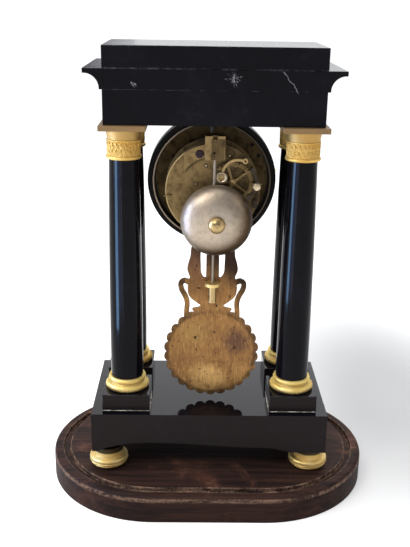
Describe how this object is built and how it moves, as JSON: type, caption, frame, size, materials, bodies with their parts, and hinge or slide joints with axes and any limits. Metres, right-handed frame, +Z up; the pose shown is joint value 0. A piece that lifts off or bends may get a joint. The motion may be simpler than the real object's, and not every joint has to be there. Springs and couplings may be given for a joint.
{
  "type": "portico clock",
  "caption": "Black marble portico clock with gilt capitals, hinged bezel, striking movement with a bell, and a lyre pendulum, on an oval wooden base.",
  "frame": {"origin": "middle of the oval base's underside, on the floor", "axes": "+Z up; the dial faces -Y, so +Y points out of the back that the picture shows; +X runs to the right of someone who faces the dial"},
  "size_m": [0.371, 0.248, 0.502],
  "materials": {
    "black_marble": "polished",
    "gilt_bronze": "matt and bright gilding",
    "aged_brass": "aged",
    "grey_steel": "plain",
    "blued_steel": "blued",
    "bell_metal": "tarnished bell bronze",
    "gilt_bob": "worn gilding",
    "black_ring": "black lacquer",
    "old_wood": "worn dark stain",
    "white_enamel": "enamel",
    "clear_glass": "clear"
  },
  "bodies": {
    "case": {"dome_base": "old_wood", "feet": "gilt_bronze", "foot_studs": "grey_steel", "plinth": "black_marble", "column_blocks": "black_marble", "column_bases": "gilt_bronze", "column_shafts": "black_marble", "capitals": "gilt_bronze", "tie_rods": "grey_steel", "tie_nuts": "grey_steel", "frieze": "black_marble", "cornice": "black_marble", "attic_slab": "black_marble", "drum_ring": "black_ring", "drum_tube": "aged_brass", "drum_saddle": "aged_brass", "drum_bolt": "grey_steel", "bezel_hinge": "gilt_bronze", "false_plate": "aged_brass", "dial": "white_enamel", "front_plate": "aged_brass", "back_plate": "aged_brass", "plate_pillars": "aged_brass", "pillar_pins": "grey_steel", "movement_feet": "aged_brass", "ratchet_clicks": "grey_steel", "hammer_spring": "grey_steel", "bell_stand": "grey_steel", "bell": "bell_metal", "bell_nut": "aged_brass", "suspension_cock": "aged_brass", "cock_screw": "blued_steel", "suspension_spring": "grey_steel"},
    "bezel_door": {"bezel": "gilt_bronze", "glass": "clear_glass"},
    "minute_works": {"cannon_pinion": "grey_steel", "minute_hand": "blued_steel", "hand_collet": "aged_brass"},
    "minute_wheel": {"minute_wheel": "aged_brass"},
    "hour_works": {"hour_wheel": "aged_brass", "hour_hand": "blued_steel"},
    "going_barrel": {"going_barrel": "aged_brass"},
    "going_winding_arbor": {"going_winding_arbor": "grey_steel"},
    "going_intermediate_wheel": {"going_intermediate_wheel": "aged_brass"},
    "centre_wheel": {"centre_wheel": "aged_brass"},
    "third_wheel": {"third_wheel": "aged_brass"},
    "escape_wheel": {"escape_wheel": "aged_brass"},
    "pallet_anchor": {"pallet_anchor": "grey_steel"},
    "strike_barrel": {"strike_barrel": "aged_brass"},
    "strike_winding_arbor": {"strike_winding_arbor": "grey_steel"},
    "count_works": {"strike_intermediate_wheel": "aged_brass", "count_wheel": "aged_brass"},
    "pin_wheel": {"pin_wheel": "aged_brass"},
    "warning_wheel": {"warning_wheel": "aged_brass"},
    "fly": {"fly": "aged_brass"},
    "detent_lever": {"detent_lever": "aged_brass"},
    "hammer": {"hammer": "grey_steel"},
    "pendulum": {"pendulum_rod": "grey_steel"},
    "bob": {"pendulum_bob": "gilt_bob"},
    "rating_nut": {"rating_nut": "aged_brass"}
  },
  "joints": [
    {"name": "minute_hand_turn", "type": "hinge", "parent": "case", "child": "minute_works", "pos_m": [0, 0, 0.3493], "axis": [0, 1, 0], "continuous": true},
    {"name": "minute_wheel_turn", "type": "hinge", "parent": "case", "child": "minute_wheel", "pos_m": [0, 0, 0.36375], "axis": [0, 1, 0], "continuous": true},
    {"name": "hour_hand_turn", "type": "hinge", "parent": "case", "child": "hour_works", "pos_m": [0, 0, 0.3493], "axis": [0, 1, 0], "continuous": true},
    {"name": "third_wheel_turn", "type": "hinge", "parent": "case", "child": "third_wheel", "pos_m": [-0.00508, 0, 0.36678], "axis": [0, 1, 0], "continuous": true},
    {"name": "centre_wheel_turn", "type": "hinge", "parent": "case", "child": "centre_wheel", "pos_m": [0, 0, 0.3493], "axis": [0, 1, 0], "continuous": true},
    {"name": "going_intermediate_turn", "type": "hinge", "parent": "case", "child": "going_intermediate_wheel", "pos_m": [0.01846, 0, 0.35602], "axis": [0, 1, 0], "continuous": true},
    {"name": "going_barrel_turn", "type": "hinge", "parent": "case", "child": "going_barrel", "pos_m": [0.02557, 0, 0.33628], "axis": [0, 1, 0], "continuous": true},
    {"name": "escape_wheel_turn", "type": "hinge", "parent": "case", "child": "escape_wheel", "pos_m": [0.00729, 0, 0.37637], "axis": [0, 1, 0], "continuous": true},
    {"name": "going_winding_turn", "type": "hinge", "parent": "case", "child": "going_winding_arbor", "pos_m": [0.02557, 0, 0.33628], "axis": [0, 1, 0], "continuous": true},
    {"name": "warning_wheel_turn", "type": "hinge", "parent": "case", "child": "warning_wheel", "pos_m": [-0.01765, 0, 0.38727], "axis": [0, 1, 0], "continuous": true},
    {"name": "pin_wheel_turn", "type": "hinge", "parent": "case", "child": "pin_wheel", "pos_m": [-0.02427, 0, 0.3758], "axis": [0, 1, 0], "continuous": true},
    {"name": "count_wheel_turn", "type": "hinge", "parent": "case", "child": "count_works", "pos_m": [-0.0214, 0, 0.3595], "axis": [0, 1, 0], "continuous": true},
    {"name": "strike_barrel_turn", "type": "hinge", "parent": "case", "child": "strike_barrel", "pos_m": [-0.0255, 0, 0.33625], "axis": [0, 1, 0], "continuous": true},
    {"name": "fly_turn", "type": "hinge", "parent": "case", "child": "fly", "pos_m": [-0.01016, 0, 0.39355], "axis": [0, 1, 0], "continuous": true},
    {"name": "strike_winding_turn", "type": "hinge", "parent": "case", "child": "strike_winding_arbor", "pos_m": [-0.0255, 0, 0.33625], "axis": [0, 1, 0], "continuous": true},
    {"name": "pendulum_swing", "type": "hinge", "parent": "case", "child": "pendulum", "pos_m": [-0.0015, 0, 0.393], "axis": [0, 1, 0], "range_deg": [-3, 3]},
    {"name": "crutch_swing", "type": "hinge", "parent": "case", "child": "pallet_anchor", "pos_m": [-0.0015, 0, 0.393], "axis": [0, 1, 0], "range_deg": [-3, 3]},
    {"name": "detent_lift", "type": "hinge", "parent": "case", "child": "detent_lever", "pos_m": [-0.034, 0, 0.3833], "axis": [0, 1, 0], "range_deg": [-8, 0]},
    {"name": "hammer_swing", "type": "hinge", "parent": "case", "child": "hammer", "pos_m": [-0.0415, 0, 0.3743], "axis": [0, 1, 0], "range_deg": [0, 12], "stiffness_Nm_per_rad": 0.02, "springref_deg": -5.73},
    {"name": "bezel_open", "type": "hinge", "parent": "case", "child": "bezel_door", "pos_m": [-0.0736, -0.0576, 0.3493], "axis": [0, 0, -1], "range_deg": [0, 100]},
    {"name": "bob_rise", "type": "slide", "parent": "pendulum", "child": "bob", "axis": [0, 0, 1], "range_m": [-0.0015, 0.0015]},
    {"name": "rating_nut_turn", "type": "hinge", "parent": "bob", "child": "rating_nut", "pos_m": [-0.0015, 0.036, 0.2366], "axis": [0, 0, 1], "range_deg": [-1080, 1080]}
  ],
  "couplings": [
    {"joint": "minute_wheel_turn", "follows": "minute_hand_turn", "ratio": -0.33333},
    {"joint": "hour_hand_turn", "follows": "minute_hand_turn", "ratio": 0.083333},
    {"joint": "centre_wheel_turn", "follows": "third_wheel_turn", "ratio": -0.1},
    {"joint": "going_intermediate_turn", "follows": "third_wheel_turn", "ratio": 0.016667},
    {"joint": "going_barrel_turn", "follows": "third_wheel_turn", "ratio": -0.0027778},
    {"joint": "escape_wheel_turn", "follows": "third_wheel_turn", "ratio": -12},
    {"joint": "pin_wheel_turn", "follows": "warning_wheel_turn", "ratio": -0.1},
    {"joint": "count_wheel_turn", "follows": "warning_wheel_turn", "ratio": 0.01},
    {"joint": "strike_barrel_turn", "follows": "warning_wheel_turn", "ratio": -0.0016667},
    {"joint": "fly_turn", "follows": "warning_wheel_turn", "ratio": -8},
    {"joint": "crutch_swing", "follows": "pendulum_swing", "ratio": 1},
    {"joint": "rating_nut_turn", "follows": "bob_rise", "rad_per_m": 12566}
  ]
}
